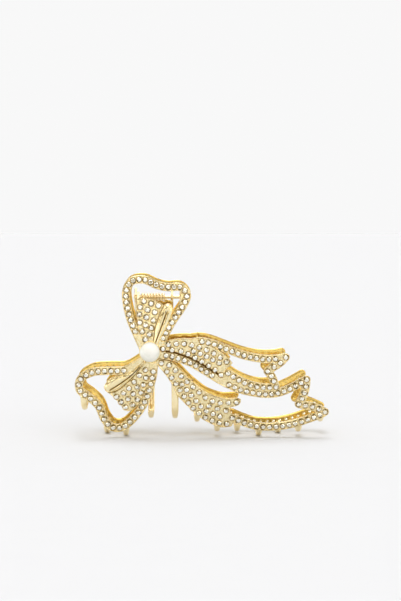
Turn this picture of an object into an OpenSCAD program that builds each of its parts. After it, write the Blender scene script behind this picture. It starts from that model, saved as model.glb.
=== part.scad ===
// Spring claw hair clip in the form of a ribbon bow, set with rhinestones.
// Two mirrored openwork jaws turn on a pin behind the upper loop, and a torsion spring
// holds their teeth together. +X runs along the bow towards its tails, the front jaw
// faces -Y, and the closed clip stands on its lowest teeth at Z = 0.

/* [Jaws] */
// Radius of the cylinder, about an X axis, that each jaw's face is bent to
face_r = 150; // [120:5:200]
// Distance of the jaw's face from the middle plane at its deepest height
face_depth = 15; // [13:0.5:18]
// Height at which the face is deepest
face_mid_z = 40; // [35:1:45]
// Thickness of the jaw's plates
plate_t = 1.8; // [1.4:0.1:2.2]
// Width of the bands that carry one row of stones
band_w = 3.3; // [3:0.1:3.6]
// How far the polished folds stand above the bands
crease_rise = 0.8; // [0.4:0.1:1.2]

/* [Stones and pearl] */
// Diameter of a rhinestone
stone_d = 2.2; // [1.8:0.1:2.4]
// Height of a rhinestone above its plate
stone_h = 0.9; // [0.6:0.1:1.2]
// Diameter of the pearl on the knot
pearl_d = 7.8; // [6:0.2:9]
// Diameter of the knot's disc under the pearl
knot_d = 8.8; // [8:0.2:9.2]

/* [Teeth] */
// Outer radius of a tooth's curve
tooth_r = 6; // [5:0.25:6.5]
// Thickness of a tooth
tooth_t = 1.5; // [1.2:0.1:1.8]
// Width of a tooth
tooth_w = 2.8; // [2.2:0.1:3.4]
// Angle by which a tooth's tip passes its lowest point
tooth_sweep = 70; // [50:5:80]

/* [Hinge and spring] */
// Height of the hinge pin's axis
hinge_z = 56; // [54:0.5:58]
// Diameter of the hinge pin
pin_d = 1.4; // [1.2:0.1:1.5]
// Radial clearance of the pin in the rear jaw's ears
pin_clearance = 0.06; // [0.03:0.01:0.1]
// Radius of the ears around the pin
ear_r = 2.2; // [1.8:0.1:2.6]
// Diameter of the spring's wire
wire_d = 1; // [0.8:0.05:1]
// Full turns of the spring's coil
coil_turns = 8; // [6:1:9]

/* [Hidden] */

gold = [0.93, 0.76, 0.42];
steel_gold = [0.86, 0.72, 0.45];
crystal = [0.88, 0.9, 0.86];
nacre = [0.97, 0.95, 0.91];

steps = 4;          // straight pieces in each span of a curve
cap_steps = 10;     // straight pieces around a band's round end
slack = 60;         // overlength of the cutting cylinders beyond the bow
face_y = face_r - face_depth;
knot = [-21.2, 35];

// Lower ends and upper ends of the six teeth of each jaw: [x, lowest z, root z].
// The rear jaw's teeth stand in the gaps of the front jaw's.
front_teeth = [
    [-47.6, 10.8, 16.4], [-31, 0.2, 4.6], [-11.2, 7.2, 22],
    [5.8, 1.8, 6.4], [22.6, 0, 4.4], [38.6, 1.6, 6]
];
rear_teeth = [
    [-39, 0, 5.4], [-21, 6, 24], [-2.2, 4.4, 9.8],
    [14.2, 0.6, 6.6], [31, 0, 4.4], [48.4, 4.4, 9.4]
];

// Centre lines of the bands, as [x, z] seen from the front
upper_loop_line = [
    [-23.8, 36.2], [-25.6, 40], [-27, 43.2], [-29, 48], [-30.4, 54], [-30.6, 59.2], [-28.4, 63],
    [-23.4, 63.6], [-18.8, 61.6], [-14.2, 60.6], [-9, 60.6], [-6.4, 57.4], [-8, 53.2],
    [-12.2, 47], [-16.2, 40], [-18, 36.6]
];
left_loop_line = [
    [-23.4, 31.8], [-27.8, 29], [-31.6, 27.4], [-38.8, 27.2], [-44.4, 26.6], [-49, 23.8],
    [-49.2, 19.4], [-45.4, 16.4], [-41.8, 12.8], [-39.6, 7.6], [-36.6, 4.2], [-31.8, 4.4],
    [-26.2, 9.8], [-22.4, 16.6], [-20.6, 23], [-19.8, 27], [-19.8, 31.4]
];
upper_tail_line = [
    [-4.4, 38.7], [-0.4, 39], [4.2, 37.9], [9.2, 36], [16.4, 33.4], [23.6, 32], [29.2, 32],
    [33, 32.6]
];
upper_tail_return_line = [[33, 32.6], [30.8, 30.4], [28.4, 28.8], [25.8, 27]];
upper_tail_down_line = [[25.8, 27], [27.4, 25], [28.4, 22.8], [29.2, 20.6]];
middle_tail_line = [
    [-17.4, 33.8], [-12.2, 33], [-9.6, 32.2], [-4.8, 30.4], [-0.6, 28], [3.6, 25.4], [7.2, 23.2],
    [10.4, 21.6], [15, 19.6], [20, 18.4], [25, 17.8], [30, 18.2], [34.8, 20], [39, 22.2],
    [41.4, 23.6]
];
middle_tail_upper_line = [[10, 26.2], [14.4, 23.4], [19, 21.4], [24.2, 20.4], [29.2, 20.6]];
lower_tail_down_line = [[41.4, 23.6], [41.2, 20.8], [40.6, 18.2], [39.6, 15.8], [38.4, 13.6]];
lower_tail_out_line = [[38.4, 13.6], [41.2, 13], [43.8, 12.6], [46.4, 11.6], [49, 10.4]];
lower_tail_back_line = [
    [49, 10.4], [47, 9.2], [41.8, 7.2], [36.8, 5.6], [31.8, 4.6], [26.4, 4.2], [21.2, 4.6],
    [16.6, 6], [11.8, 8]
];

// Edges of the paved folds and the polished folds, drawn as smooth runs between corners
upper_fold_edges = [
    [[-20, 38.2], [-23.6, 37.6]],
    [[-23.6, 37.6], [-25.2, 41], [-26, 44.2], [-26.4, 48.2], [-26.6, 52.2], [-26.4, 55.6]],
    [[-26.4, 55.6], [-25.4, 56.4]],
    [[-25.4, 56.4], [-22, 56], [-18.4, 55], [-15.6, 53.4]],
    [[-15.6, 53.4], [-17, 50.6], [-18.2, 47.4], [-19.2, 44.2], [-19.6, 41], [-20, 38.2]]
];
upper_crease_edges = [
    [[-20, 38.2], [-19.6, 41], [-19.2, 44.2], [-18.2, 47.4], [-17, 50.6], [-15.6, 53.4]],
    [[-15.6, 53.4], [-14.6, 54.1], [-13.4, 54.1], [-12.4, 53.4], [-12, 51.6], [-12.4, 49.4],
     [-13.8, 46], [-15.2, 43], [-16.6, 40.6], [-18, 37.4]],
    [[-18, 37.4], [-20, 38.2]]
];
left_crease_edges = [
    [[-23, 31.8], [-25.6, 29.8], [-28.8, 27.2], [-31.4, 26], [-34.8, 25.2], [-37.2, 24],
     [-38.8, 22.4], [-39.6, 20.8], [-39.2, 19.4], [-38.2, 18.4]],
    [[-38.2, 18.4], [-36.2, 18.6], [-33.8, 19.6], [-31.4, 21.4], [-29, 23.8], [-27, 25.8],
     [-24.6, 29], [-22.8, 31]],
    [[-22.8, 31], [-23, 31.8]]
];
left_fold_edges = [
    [[-22.8, 31], [-24.6, 29], [-27, 25.8], [-29, 23.8], [-31.4, 21.4], [-33.8, 19.6],
     [-36.2, 18.6], [-38.2, 18.4]],
    [[-38.2, 18.4], [-36.6, 17.2], [-34.8, 15.4], [-33, 13.2], [-31.4, 11.2]],
    [[-31.4, 11.2], [-29.6, 10.8], [-26.8, 12.4], [-24.8, 14.8]],
    [[-24.8, 14.8], [-22.8, 20.2], [-20.8, 25.8], [-20.8, 31]],
    [[-20.8, 31], [-22.8, 31]]
];
upper_tail_fold_edges = [
    [[-18, 34.6], [-17.4, 37]],
    [[-17.4, 37], [-15, 39.2], [-11.6, 40], [-8, 40.3], [-4.6, 40.2], [-2, 39.4]],
    [[-2, 39.4], [4, 37], [8.8, 33.6], [11.8, 30.4]],
    [[11.8, 30.4], [11, 29.4], [9.6, 28.2], [8.6, 26.2], [8.4, 24]],
    [[8.4, 24], [3.6, 24.8]],
    [[3.6, 24.8], [-4.8, 29.8], [-12.2, 32.4], [-18, 34.6]]
];
lower_tail_fold_edges = [
    [[-18.6, 31.8], [-17, 32], [-14.8, 31.6], [-12.4, 30.8], [-9.2, 28], [-5.2, 23.8],
     [-1.2, 20.4], [1.6, 18.4], [4.8, 17], [8.8, 16], [13.2, 16.2], [15.2, 15.6]],
    [[15.2, 15.6], [15, 14.2], [13.6, 13], [11.2, 12.2], [10.8, 11], [12, 9.4]],
    [[12, 9.4], [12.2, 5.8]],
    [[12.2, 5.8], [11.2, 4.4], [7.6, 4], [4.4, 5], [0.8, 6.8], [-2.8, 9.4], [-6.8, 13.4],
     [-10.2, 17.2], [-12, 20.8], [-14, 24.2], [-16.4, 27.4], [-18.8, 30.2]],
    [[-18.8, 30.2], [-18.6, 31.8]]
];

// Rows of stones: [count, centre line, plain length at its start, plain length at its end]
upper_loop_rows = [[28, upper_loop_line, 7.6, 4.2]];
left_loop_rows = [[30, left_loop_line, 9.4, 4.4]];
upper_fold_rows = [
    [3, [[-23.6, 55], [-17.8, 53.2]], 0, 0], [3, [[-25, 52.6], [-19.2, 50.6]], 0, 0],
    [3, [[-25.4, 49.8], [-19.8, 47.4]], 0, 0], [3, [[-25.2, 46.6], [-20.6, 44.4]], 0, 0],
    [2, [[-24.2, 43], [-21.4, 41.8]], 0, 0], [1, [[-23, 39.8], [-22, 39.4]], 0, 0]
];
left_fold_rows = [
    [3, [[-34.6, 16.8], [-31, 12.4]], 0, 0], [3, [[-31.8, 18.2], [-28.2, 13.4]], 0, 0],
    [3, [[-29.6, 20.2], [-26.2, 15.6]], 0, 0], [3, [[-27.6, 22.8], [-24.8, 18.4]], 0, 0],
    [2, [[-25.4, 25.4], [-23.8, 21.6]], 0, 0], [2, [[-23, 27.6], [-22.8, 24.4]], 0, 0]
];
upper_tail_rows = [
    [13, upper_tail_line, 4, 4.2], [4, upper_tail_return_line, 0, 0],
    [2, upper_tail_down_line, 2.4, 2.6],
    [9, [[-13.8, 37.8], [-8.2, 38.2], [-1.8, 36.8], [4.4, 34.2], [9.4, 30.8]], 0, 0],
    [3, [[-16, 36], [-11.8, 35.6], [-8.8, 35.2]], 0, 0],
    [5, [[-3.8, 35.2], [1.4, 33], [6.4, 30.4]], 0, 0],
    [6, [[-6, 34], [-0.4, 31], [4.8, 27.6], [7.2, 25.6]], 0, 0]
];
middle_tail_rows = [
    [9, [[-14.8, 33.4], [-12.2, 33], [-4.8, 30.4], [3.6, 25.4]], 0, 0],
    [14, [[10.4, 21.6], [15, 19.6], [20, 18.4], [25, 17.8], [30, 18.2], [34.8, 20], [39, 22.2],
          [41.4, 23.6]], 0, 0],
    [9, middle_tail_upper_line, 0, 0]
];
lower_tail_rows = [
    [4, lower_tail_down_line, 2.8, 0], [4, lower_tail_out_line, 2.8, 0],
    [15, lower_tail_back_line, 2.4, 0],
    [12, [[-16.6, 30.4], [-13.2, 29.4], [-8.6, 25], [-3.4, 20.2], [1.2, 16.2], [4.2, 14.8],
          [7.4, 14.2], [13.4, 14.4]], 0, 0],
    [12, [[-14.4, 27], [-11, 22.4], [-7.6, 17], [-4, 12.2], [0.8, 8.4], [6.4, 6], [9.6, 5.6]], 0, 0],
    [8, [[-8.5, 21.8], [-4.6, 17.2], [-0.8, 12.8], [1.4, 10.8], [6.8, 8.6]], 0, 0],
    [3, [[2.4, 13], [5.6, 11.9], [9.2, 11]], 0, 0]
];

// The pin's ears: [x of one side, x of the other side, far x of the foot, foot's low z, foot's
// high z, height of the pointed top above the pin]
front_left_ear = [-26.4, -25.5, -24, 48, 54, 0];
front_right_ear = [-9.4, -8.5, -6.6, 52, 58, 0];
rear_left_ear = [-27.6, -26.6, -24.4, 47, 53, 3.8];
rear_right_ear = [-11.9, -12.9, -15, 46, 52, 3.8];
tooth_inset = 0.5;  // a tooth's back lies this far behind the plates' face
foot_t = 1.2;
ear_reach = 14;     // the ears' webs run this far back from the pin, into the plates

pin_ends = [-28, -8];
rivet_h = 0.35;
rivet_d = 2;
coil_x = [-24.9, -15.4];
coil_mid_r = 1.25;
front_leg_tilt = 10;
leg_length = 13.2;
spring_sides = 8;
rings_per_turn = 16;
cup_r = 3.2;
pearl_lift = 3;     // the pearl's centre stands this far in front of the knot's disc
peg_r = 0.5;

// A point on the Catmull-Rom curve between b and c
function curve_point(a, b, c, d, t) = 0.5 * (2 * b + (c - a) * t
    + (2 * a - 5 * b + 4 * c - d) * t * t + (3 * b - a - 3 * c + d) * t * t * t);

// A smooth run through every point of p; two points stay one straight line
function curve(p) = len(p) == 2 ? p : concat(
    [for (i = [0 : len(p) - 2], k = [0 : steps - 1])
        curve_point(i == 0 ? 2 * p[0] - p[1] : p[i - 1], p[i], p[i + 1],
            i == len(p) - 2 ? 2 * p[i + 1] - p[i] : p[i + 2], k / steps)],
    [p[len(p) - 1]]
);

// The unit vector across a run of points at its point i
function across(p, i) = let (d = p[min(i + 1, len(p) - 1)] - p[max(i - 1, 0)]) [-d.y, d.x] / norm(d);

// A half circle of points about the end of a band, from one side of it to the other
function end_cap(p, i, turn) = let (a = across(p, i) * band_w / 2 * turn) [
    for (k = [1 : cap_steps - 1]) let (t = -180 * k / cap_steps)
        p[i] + [a.x * cos(t) - a.y * sin(t), a.x * sin(t) + a.y * cos(t)]
];

// The outline of a band about a centre line, with round ends where round says so
function band_points(line, round) = let (p = curve(line), last = len(p) - 1) concat(
    [for (i = [0 : last]) p[i] + across(p, i) * band_w / 2],
    round[1] ? end_cap(p, last, 1) : [],
    [for (i = [last : -1 : 0]) p[i] - across(p, i) * band_w / 2],
    round[0] ? end_cap(p, 0, -1) : []
);

// A closed outline from its smooth edges, each without its last point
function closed_points(edges) = [for (e = edges) let (p = curve(e)) for (i = [0 : len(p) - 2]) p[i]];

// The distance along a run of points at each of its points
function distances(p) = [for (i = 0, s = 0; i < len(p);
    s = s + (i < len(p) - 1 ? norm(p[i + 1] - p[i]) : 0), i = i + 1) s];

// The stones' centres in one row, evenly spaced along its line
function row_points(row) = let (
    p = curve(row[1]),
    s = distances(p),
    span = s[len(s) - 1] - row[2] - row[3],
    xs = [for (i = [0 : len(p) - 1]) [s[i], p[i].x]],
    zs = [for (i = [0 : len(p) - 1]) [s[i], p[i].y]]
) [for (k = [0 : row[0] - 1]) let (at = row[2] + (row[0] == 1 ? 0 : span * k / (row[0] - 1)))
    [lookup(at, xs), lookup(at, zs)]];

// Distance of the front face from the middle plane at height z
function face_at(z) = sqrt(face_r * face_r - (z - face_mid_z) * (z - face_mid_z)) - face_y;

module rear() {
    mirror([0, 1, 0]) children();
}

module face_cylinder(r) {
    translate([0, face_y, face_mid_z]) rotate([0, 90, 0])
        cylinder(r = r, h = 2 * slack, center = true, $fn = 360);
}

// A plate of the front jaw: its outline bent to the face, standing proud by rise
module plate(rise = 0) {
    intersection() {
        rotate([90, 0, 0]) linear_extrude(face_depth + rise + 1) children();
        difference() {
            face_cylinder(face_r + rise);
            face_cylinder(face_r - plate_t);
        }
    }
}

module band(line, round = [false, false]) {
    polygon(band_points(line, round));
}

// Outlines in [x, z], before neighbours are cut away

module knot_area() {
    translate(knot) circle(d = knot_d, $fn = 72);
}

module upper_loop_area() {
    band(upper_loop_line);
}

module left_loop_area() {
    band(left_loop_line);
}

module upper_crease_area() {
    polygon(closed_points(upper_crease_edges));
}

module left_crease_area() {
    polygon(closed_points(left_crease_edges));
}

module left_fold_area() {
    polygon(closed_points(left_fold_edges));
}

module middle_tail_area() {
    band(middle_tail_line, [false, true]);
    band(middle_tail_upper_line);
    polygon([[6.4, 24], [9.2, 27.2], [14.6, 23.8], [19, 20.6], [14.8, 19.4], [7, 22.8]]);
}

module upper_tail_area() {
    band(upper_tail_line, [false, true]);
    band(upper_tail_return_line, [false, true]);
    band(upper_tail_down_line);
}

module lower_tail_area() {
    band(lower_tail_down_line, [false, true]);
    band(lower_tail_out_line, [false, true]);
    band(lower_tail_back_line);
}

module lower_tail_fold_area() {
    polygon(closed_points(lower_tail_fold_edges));
}

// Sub-parts, drawn for the front jaw

module upper_loop() {
    color(gold) plate() difference() {
        upper_loop_area();
        knot_area();
    }
}

module upper_fold() {
    color(gold) plate() difference() {
        polygon(closed_points(upper_fold_edges));
        knot_area();
        upper_loop_area();
        upper_crease_area();
    }
}

module upper_crease() {
    color(gold) plate(crease_rise) difference() {
        upper_crease_area();
        knot_area();
        upper_loop_area();
    }
}

module left_loop() {
    color(gold) plate() difference() {
        left_loop_area();
        knot_area();
    }
}

module left_fold() {
    color(gold) plate() difference() {
        left_fold_area();
        knot_area();
        left_loop_area();
        left_crease_area();
    }
}

module left_crease() {
    color(gold) plate(crease_rise) difference() {
        left_crease_area();
        knot_area();
        left_loop_area();
    }
}

module upper_tail() {
    color(gold) plate() difference() {
        upper_tail_area();
        middle_tail_area();
    }
}

module upper_tail_fold() {
    color(gold) plate() difference() {
        polygon(closed_points(upper_tail_fold_edges));
        knot_area();
        upper_loop_area();
        upper_tail_area();
        middle_tail_area();
    }
}

module middle_tail() {
    color(gold) plate() difference() {
        middle_tail_area();
        knot_area();
        upper_loop_area();
        left_loop_area();
    }
}

module lower_tail() {
    color(gold) plate() difference() {
        lower_tail_area();
        middle_tail_area();
    }
}

module lower_tail_fold() {
    color(gold) plate() difference() {
        lower_tail_fold_area();
        knot_area();
        left_loop_area();
        middle_tail_area();
        lower_tail_area();
    }
}

// The knot's disc with a dished seat and a peg for the pearl
module knot_cup() {
    face = face_at(knot.y);
    color(gold) difference() {
        union() {
            plate() knot_area();
            translate([knot.x, plate_t / 2 - face, knot.y]) rotate([90, 0, 0]) {
                cylinder(r = cup_r, h = plate_t / 2 + 1.4, $fn = 72);
            }
        }
        translate([knot.x, -face - pearl_lift, knot.y]) sphere(d = pearl_d, $fn = 72);
    }
    color(gold) translate([knot.x, pearl_d / 2 - face - pearl_lift + 0.4, knot.y]) rotate([90, 0, 0])
        cylinder(r = peg_r, h = 3.4, $fn = 32);
}

module pearl() {
    face = face_at(knot.y);
    color(nacre) difference() {
        translate([knot.x, -face - pearl_lift, knot.y]) sphere(d = pearl_d, $fn = 72);
        translate([knot.x, pearl_d / 2 - face - pearl_lift + 0.4, knot.y]) rotate([90, 0, 0])
            cylinder(r = peg_r, h = 3.4, $fn = 32);
    }
}

// One flat-backed stone, standing on the face and square to it
module stone(x, z) {
    tilt = asin((z - face_mid_z) / face_r);
    translate([x, -face_at(z) - 0.01, z]) rotate([90 - tilt, 0, 0]) rotate_extrude($fn = 24)
        polygon([[0, 0], [stone_d / 2, 0], [stone_d / 2, stone_h / 3], [stone_d / 4, stone_h],
            [0, stone_h]]);
}

module stones(rows) {
    color(crystal) for (row = rows, p = row_points(row)) stone(p.x, p.y);
}

// A tooth that grows out of the plates given as children and curves inwards
module tooth(place) {
    x = place[0];
    bend_z = place[1] + tooth_r;
    bend_y = tooth_r - face_at(bend_z) + tooth_inset;
    root_z = place[2];
    root_y = tooth_inset - face_at(root_z);
    color(gold) difference() {
        union() {
            translate([x, bend_y, bend_z]) rotate([0, 90, 0]) rotate([0, 0, -90])
                rotate_extrude(angle = 90 + tooth_sweep, $fn = 96)
                    translate([tooth_r - tooth_t, -tooth_w / 2]) square([tooth_t, tooth_w]);
            if (root_z > bend_z) translate([x - tooth_w / 2, 0, 0]) rotate([90, 0, 90])
                linear_extrude(tooth_w) polygon([
                    [bend_y - tooth_r, bend_z], [bend_y - tooth_r + tooth_t, bend_z],
                    [root_y + tooth_t, root_z], [root_y, root_z]
                ]);
        }
        if (root_z < bend_z) translate([x - tooth_w, bend_y - slack, root_z])
            cube([2 * tooth_w, slack, tooth_r]);
        plate() intersection() {
            children();
            translate([x - tooth_w, place[1]]) square([2 * tooth_w, root_z + tooth_w - place[1]]);
        }
    }
}

// An ear for the pin, on a web and a foot behind the front jaw's plates
module ear(e, bore_r) {
    x = min(e[0], e[1]);
    t = abs(e[1] - e[0]);
    foot_x = min(x, e[2]);
    color(gold) difference() {
        union() {
            intersection() {
                union() {
                    translate([x, 0, 0]) rotate([90, 0, 90]) linear_extrude(t)
                        polygon([[-ear_reach, e[3]], [-ear_reach, e[4]], [-1, hinge_z + 1.96],
                            [1.4, hinge_z - 1.7]]);
                    translate([foot_x, foot_t - face_depth, e[3]])
                        cube([max(x + t, e[2]) - foot_x, plate_t, e[4] - e[3]]);
                }
                face_cylinder(face_r - plate_t);
            }
            translate([x, 0, hinge_z]) rotate([0, 90, 0]) cylinder(r = ear_r, h = t, $fn = 64);
            if (e[5] > 0) translate([x, 0, hinge_z]) rotate([90, 0, 90]) linear_extrude(t)
                polygon([[-1.6, 1.5], [1.6, 1.5], [0.3, e[5]], [-0.3, e[5]]]);
        }
        translate([x - 1, 0, hinge_z]) rotate([0, 90, 0]) cylinder(r = bore_r, h = t + 2, $fn = 64);
    }
}

// The rivet through the four ears
module hinge_pin() {
    color(steel_gold) translate([pin_ends[0], 0, hinge_z]) rotate([0, 90, 0]) {
        cylinder(d = pin_d, h = pin_ends[1] - pin_ends[0], $fn = 64);
        cylinder(d = rivet_d, h = rivet_h, $fn = 64);
        translate([0, 0, pin_ends[1] - pin_ends[0] - rivet_h]) cylinder(d = rivet_d, h = rivet_h, $fn = 64);
    }
}

// The coil's centre line from its front end, and the front leg before it
coil_start = 270 - front_leg_tilt;
coil_sweep = coil_turns * 360 + front_leg_tilt;
ring_count = coil_turns * rings_per_turn;
function coil_point(k) = let (a = coil_start + coil_sweep * k / ring_count) [
    coil_x[0] + (coil_x[1] - coil_x[0]) * k / ring_count,
    coil_mid_r * cos(a),
    hinge_z + coil_mid_r * sin(a)
];
front_leg_tip = coil_point(0) + leg_length * [0, -cos(front_leg_tilt), sin(front_leg_tilt)];
spring_line = concat([front_leg_tip], [for (k = [0 : ring_count]) coil_point(k)]);

// Rings of points around each point of the line, square to it
function ring(line, i) = let (
    t = line[min(i + 1, len(line) - 1)] - line[max(i - 1, 0)],
    u = t / norm(t),
    radial = i == 0 ? [0, sin(front_leg_tilt), cos(front_leg_tilt)]
        : let (v = [0, line[i].y, line[i].z - hinge_z]) v / norm(v),
    side = cross(u, radial) / norm(cross(u, radial)),
    up = cross(side, u)
) [for (s = [0 : spring_sides - 1]) line[i] + wire_d / 2 * (cos(360 * s / spring_sides)
    * up * (i == 0 ? -1 : 1) + sin(360 * s / spring_sides) * side * (i == 0 ? -1 : 1))];

module torsion_spring() {
    n = spring_sides;
    last = len(spring_line) - 1;
    color(steel_gold) polyhedron(
        points = [for (i = [0 : last]) each ring(spring_line, i)],
        faces = concat(
            [[for (s = [0 : n - 1]) s], [for (s = [n - 1 : -1 : 0]) last * n + s]],
            [for (i = [0 : last - 1], s = [0 : n - 1])
                [i * n + s, (i + 1) * n + s, (i + 1) * n + (s + 1) % n, i * n + (s + 1) % n]]
        )
    );
}

// The wire's other end, which presses down on the rear jaw's polished fold
module spring_rear_leg() {
    color(steel_gold) translate([coil_x[1] + wire_d / 2 + 0.05, 0, hinge_z - coil_mid_r])
        rotate([-90, 0, 0]) cylinder(d = wire_d, h = leg_length, $fn = 32);
}

module left_loop_tooth(place) {
    tooth(place) {
        left_loop_area();
        left_fold_area();
    }
}

module tail_tooth(place) {
    tooth(place) {
        lower_tail_area();
        lower_tail_fold_area();
    }
}

upper_loop();  // front_upper_loop
upper_fold();  // front_upper_fold
upper_crease();  // front_upper_crease
left_loop();  // front_left_loop
left_fold();  // front_left_fold
left_crease();  // front_left_crease
upper_tail();  // front_upper_tail
upper_tail_fold();  // front_upper_tail_fold
middle_tail();  // front_middle_tail
lower_tail();  // front_lower_tail
lower_tail_fold();  // front_lower_tail_fold
knot_cup();  // front_knot_cup
pearl();  // front_pearl
ear(front_left_ear, pin_d / 2);  // front_left_lug
ear(front_right_ear, pin_d / 2);  // front_right_lug
left_loop_tooth(front_teeth[0]);  // front_tooth_1
left_loop_tooth(front_teeth[1]);  // front_tooth_2
tail_tooth(front_teeth[2]);  // front_tooth_3
tail_tooth(front_teeth[3]);  // front_tooth_4
tail_tooth(front_teeth[4]);  // front_tooth_5
tail_tooth(front_teeth[5]);  // front_tooth_6
stones(upper_loop_rows);  // front_upper_loop_stones
stones(upper_fold_rows);  // front_upper_fold_stones
stones(left_loop_rows);  // front_left_loop_stones
stones(left_fold_rows);  // front_left_fold_stones
stones(upper_tail_rows);  // front_upper_tail_stones
stones(middle_tail_rows);  // front_middle_tail_stones
stones(lower_tail_rows);  // front_lower_tail_stones
rear() upper_loop();  // rear_upper_loop
rear() upper_fold();  // rear_upper_fold
rear() upper_crease();  // rear_upper_crease
rear() left_loop();  // rear_left_loop
rear() left_fold();  // rear_left_fold
rear() left_crease();  // rear_left_crease
rear() upper_tail();  // rear_upper_tail
rear() upper_tail_fold();  // rear_upper_tail_fold
rear() middle_tail();  // rear_middle_tail
rear() lower_tail();  // rear_lower_tail
rear() lower_tail_fold();  // rear_lower_tail_fold
rear() knot_cup();  // rear_knot_cup
rear() pearl();  // rear_pearl
rear() ear(rear_left_ear, pin_d / 2 + pin_clearance);  // rear_left_lug
rear() ear(rear_right_ear, pin_d / 2 + pin_clearance);  // rear_right_lug
rear() left_loop_tooth(rear_teeth[0]);  // rear_tooth_1
rear() left_loop_tooth(rear_teeth[1]);  // rear_tooth_2
rear() tail_tooth(rear_teeth[2]);  // rear_tooth_3
rear() tail_tooth(rear_teeth[3]);  // rear_tooth_4
rear() tail_tooth(rear_teeth[4]);  // rear_tooth_5
rear() tail_tooth(rear_teeth[5]);  // rear_tooth_6
rear() stones(upper_loop_rows);  // rear_upper_loop_stones
rear() stones(upper_fold_rows);  // rear_upper_fold_stones
rear() stones(left_loop_rows);  // rear_left_loop_stones
rear() stones(left_fold_rows);  // rear_left_fold_stones
rear() stones(upper_tail_rows);  // rear_upper_tail_stones
rear() stones(middle_tail_rows);  // rear_middle_tail_stones
rear() stones(lower_tail_rows);  // rear_lower_tail_stones
hinge_pin();
torsion_spring();
spring_rear_leg();
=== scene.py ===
import math
import random

import bmesh
import bpy
import numpy as np
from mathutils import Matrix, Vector
from mathutils.geometry import delaunay_2d_cdt


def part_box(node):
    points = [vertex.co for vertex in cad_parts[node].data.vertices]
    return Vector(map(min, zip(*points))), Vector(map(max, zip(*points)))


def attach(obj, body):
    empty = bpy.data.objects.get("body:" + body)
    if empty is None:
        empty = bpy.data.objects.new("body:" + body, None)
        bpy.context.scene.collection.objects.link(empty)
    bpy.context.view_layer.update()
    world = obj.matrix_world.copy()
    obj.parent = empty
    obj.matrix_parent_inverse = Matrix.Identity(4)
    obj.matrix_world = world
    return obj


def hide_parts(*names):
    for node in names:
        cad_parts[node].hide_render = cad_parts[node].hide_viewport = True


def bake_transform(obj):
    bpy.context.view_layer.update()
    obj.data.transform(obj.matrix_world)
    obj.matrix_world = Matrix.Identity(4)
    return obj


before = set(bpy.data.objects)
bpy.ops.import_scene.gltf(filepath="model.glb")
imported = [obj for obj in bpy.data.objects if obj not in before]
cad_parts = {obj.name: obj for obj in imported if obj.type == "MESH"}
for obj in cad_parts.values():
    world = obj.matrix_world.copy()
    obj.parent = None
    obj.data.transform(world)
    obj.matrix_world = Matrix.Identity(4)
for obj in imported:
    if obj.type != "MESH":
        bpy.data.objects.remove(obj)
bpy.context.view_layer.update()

# The clip is drawn in millimetres, as in the CAD, and every mesh is scaled to metres when it is made.
# Plates are drawn in [x, z] as seen from the front, for the front jaw, and mirrored for the rear jaw.
MM = 0.001
# A jaw's face is part of a cylinder that lies along x. At height FACE_MID_Z it stands FACE_OUT from the
# plane between the jaws.
FACE_R = 150.0
FACE_MID_Z = 40.0
FACE_OUT = 15.0
FACE_AXIS_Y = FACE_R - FACE_OUT
PLATE_T = 1.8
CREASE_T = 1.6
BAND_W = 3.3
NARROW = BAND_W - 0.9
CURVE_STEPS = 7
KNOT = (-21.2, 35.0)
KNOT_CORE_R = 3.7
PEARL_OUT = 3.0

STONE_R = 1.03
HOLE_R = 1.07
BACK_HOLE_R = 0.72
HOLE_SIDES = 18
HOLE_DEPTH = 0.85
DIMPLE_DEPTH = 0.12
BEAD_R = 0.27
# Round a stone's hole: its dipped lip, the metal that it adds to an outline, what stays where an edge
# passes, and what a plate over it leaves free
LIP = 0.2
SEAT_RIM = 0.34
SEAT_CORE = 0.02
SEAT_CLEAR = 0.28

HINGE_Z = 56.0
PIN_R = 0.7
TOOTH_R = 6.0
TOOTH_T = 1.5
TOOTH_W = 2.8
TOOTH_SWEEP = 70.0
TOOTH_INSET = 0.5

# Heights over the face at distances from a plate's edge, and from a slit
RIM = [(0, -0.3), (0.06, -0.06), (0.16, 0.14), (0.3, 0.2), (0.42, 0.12), (0.52, 0.0)]
DOME = [
    (0, -0.2), (0.06, 0.06), (0.16, 0.3), (0.3, 0.42), (0.42, 0.34), (0.55, 0.44), (0.9, 0.74),
    (1.3, 0.95), (1.8, 1.02),
]
BACK_ROUND = [(0, 0.5), (0.06, 0.32), (0.16, 0.2), (0.3, 0.11), (0.52, 0.03), (0.8, 0.0)]
SLIT = [(0, -0.2), (0.08, 0.1), (0.16, 0.5), (0.3, 0.68), (0.6, 0.86), (1.0, 1.02), (1.4, 1.2)]
# How deep the face dips at distances from a stone's centre
SEAT_DIP = [(HOLE_R, 0.1), (HOLE_R + LIP, 0.0)]
# Painted shade at distances from a plate's edge, from a slit and from a stone's centre: the plating's colour
# is darkened by it, standing for the shade there. It is 1 in deep corners and 0 on open outer faces. The
# seam's painted shadow and the painted deeper gold of the faces that look between the jaws have their own
# values.
EDGE_SHADE = [(0, 0.8), (0.1, 0.35), (0.3, 0.0), (0.55, 0.1)]
SLIT_SHADE = [(0, 1.0), (0.1, 0.85), (0.22, 0.0)]
SEAT_SHADE = [(HOLE_R, 1.0), (HOLE_R + LIP, 0.35), (HOLE_R + 0.3, 0.0)]
PLAIN_SHADE = 0.35
# Painted shade of a seat's walls and floor
DEEP = 1.0
# The seam's painted shadow: above 1 the plating turns near-black
SEAM_SHADOW = 2.0
# Marks the faces that look between the jaws, which get a painted deeper gold for gold reflected in gold
INNER = -1.0

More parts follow.
